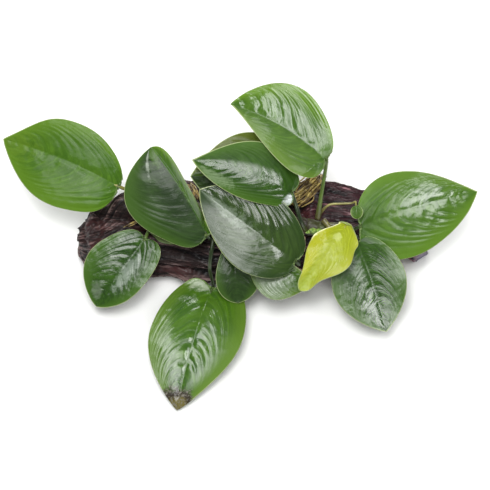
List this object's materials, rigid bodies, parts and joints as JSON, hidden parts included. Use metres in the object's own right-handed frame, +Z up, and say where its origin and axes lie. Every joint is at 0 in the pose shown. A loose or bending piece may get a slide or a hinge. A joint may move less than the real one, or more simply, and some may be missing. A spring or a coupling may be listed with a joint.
{
  "type": "anubias nana plant on driftwood",
  "caption": "Low aquarium plant with broad heart-shaped leaves on short stalks, its creeping stem rooted onto one long piece of driftwood.",
  "frame": {"origin": "middle of the flat underside that the driftwood rests on", "axes": "+X along the driftwood to the right, -Y the front, +Z up"},
  "size_m": [0.2373, 0.1381, 0.0846],
  "materials": {
    "driftwood": "matte",
    "rhizome": "satin",
    "stalk": "satin",
    "blade_green": "gloss",
    "blade_dark": "gloss",
    "blade_yellow": "satin",
    "blade_olive": "gloss",
    "root_brown": "matte",
    "root_pale": "matte"
  },
  "bodies": {
    "root": {"driftwood": "driftwood", "rhizome": "rhizome", "bud": "stalk", "leaf_far_left": "blade_green", "stalk_far_left": "stalk", "leaf_left": "blade_dark", "stalk_left": "stalk", "leaf_upper_middle": "blade_dark", "stalk_upper_middle": "stalk", "leaf_centre": "blade_dark", "stalk_centre": "stalk", "leaf_top": "blade_green", "stalk_top": "stalk", "leaf_bottom": "blade_green", "stalk_bottom": "stalk", "leaf_lower_left": "blade_green", "stalk_lower_left": "stalk", "leaf_behind": "blade_olive", "stalk_behind": "stalk", "leaf_yellow": "blade_yellow", "stalk_yellow": "stalk", "leaf_lower_right": "blade_dark", "stalk_lower_right": "stalk", "leaf_far_right": "blade_green", "stalk_far_right": "stalk", "leaf_young": "blade_green", "stalk_young": "stalk", "leaf_under_left": "blade_dark", "stalk_under_left": "stalk", "leaf_under_right": "blade_green", "stalk_under_right": "stalk", "root_bundle": "root_brown", "root_left": "root_brown", "root_back": "root_brown", "root_along": "root_brown", "root_loop": "root_pale"}
  },
  "joints": []
}
